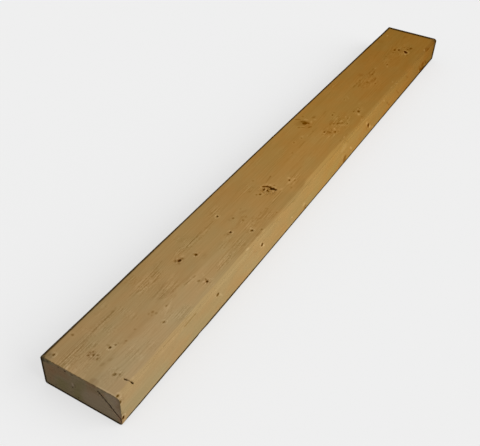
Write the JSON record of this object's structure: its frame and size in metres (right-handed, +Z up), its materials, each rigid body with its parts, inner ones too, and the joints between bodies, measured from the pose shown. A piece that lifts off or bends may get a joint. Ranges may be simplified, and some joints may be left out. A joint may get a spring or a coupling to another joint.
{
  "type": "timber plank",
  "caption": "Short length of planed softwood timber with eased edges, square-cut ends, pin knots, a broken knot and a small end split.",
  "frame": {"origin": "middle of the underside, halfway along the length", "axes": "+X along the grain, from the split end to the sound end; +Y across the wide face, to the left when seen from the split end; +Z up, out of the top wide face"},
  "size_m": [0.88, 0.089, 0.038],
  "materials": {
    "timber": "planed, unfinished, weathered softwood, matt"
  },
  "bodies": {
    "root": {"plank": "timber"}
  },
  "joints": []
}
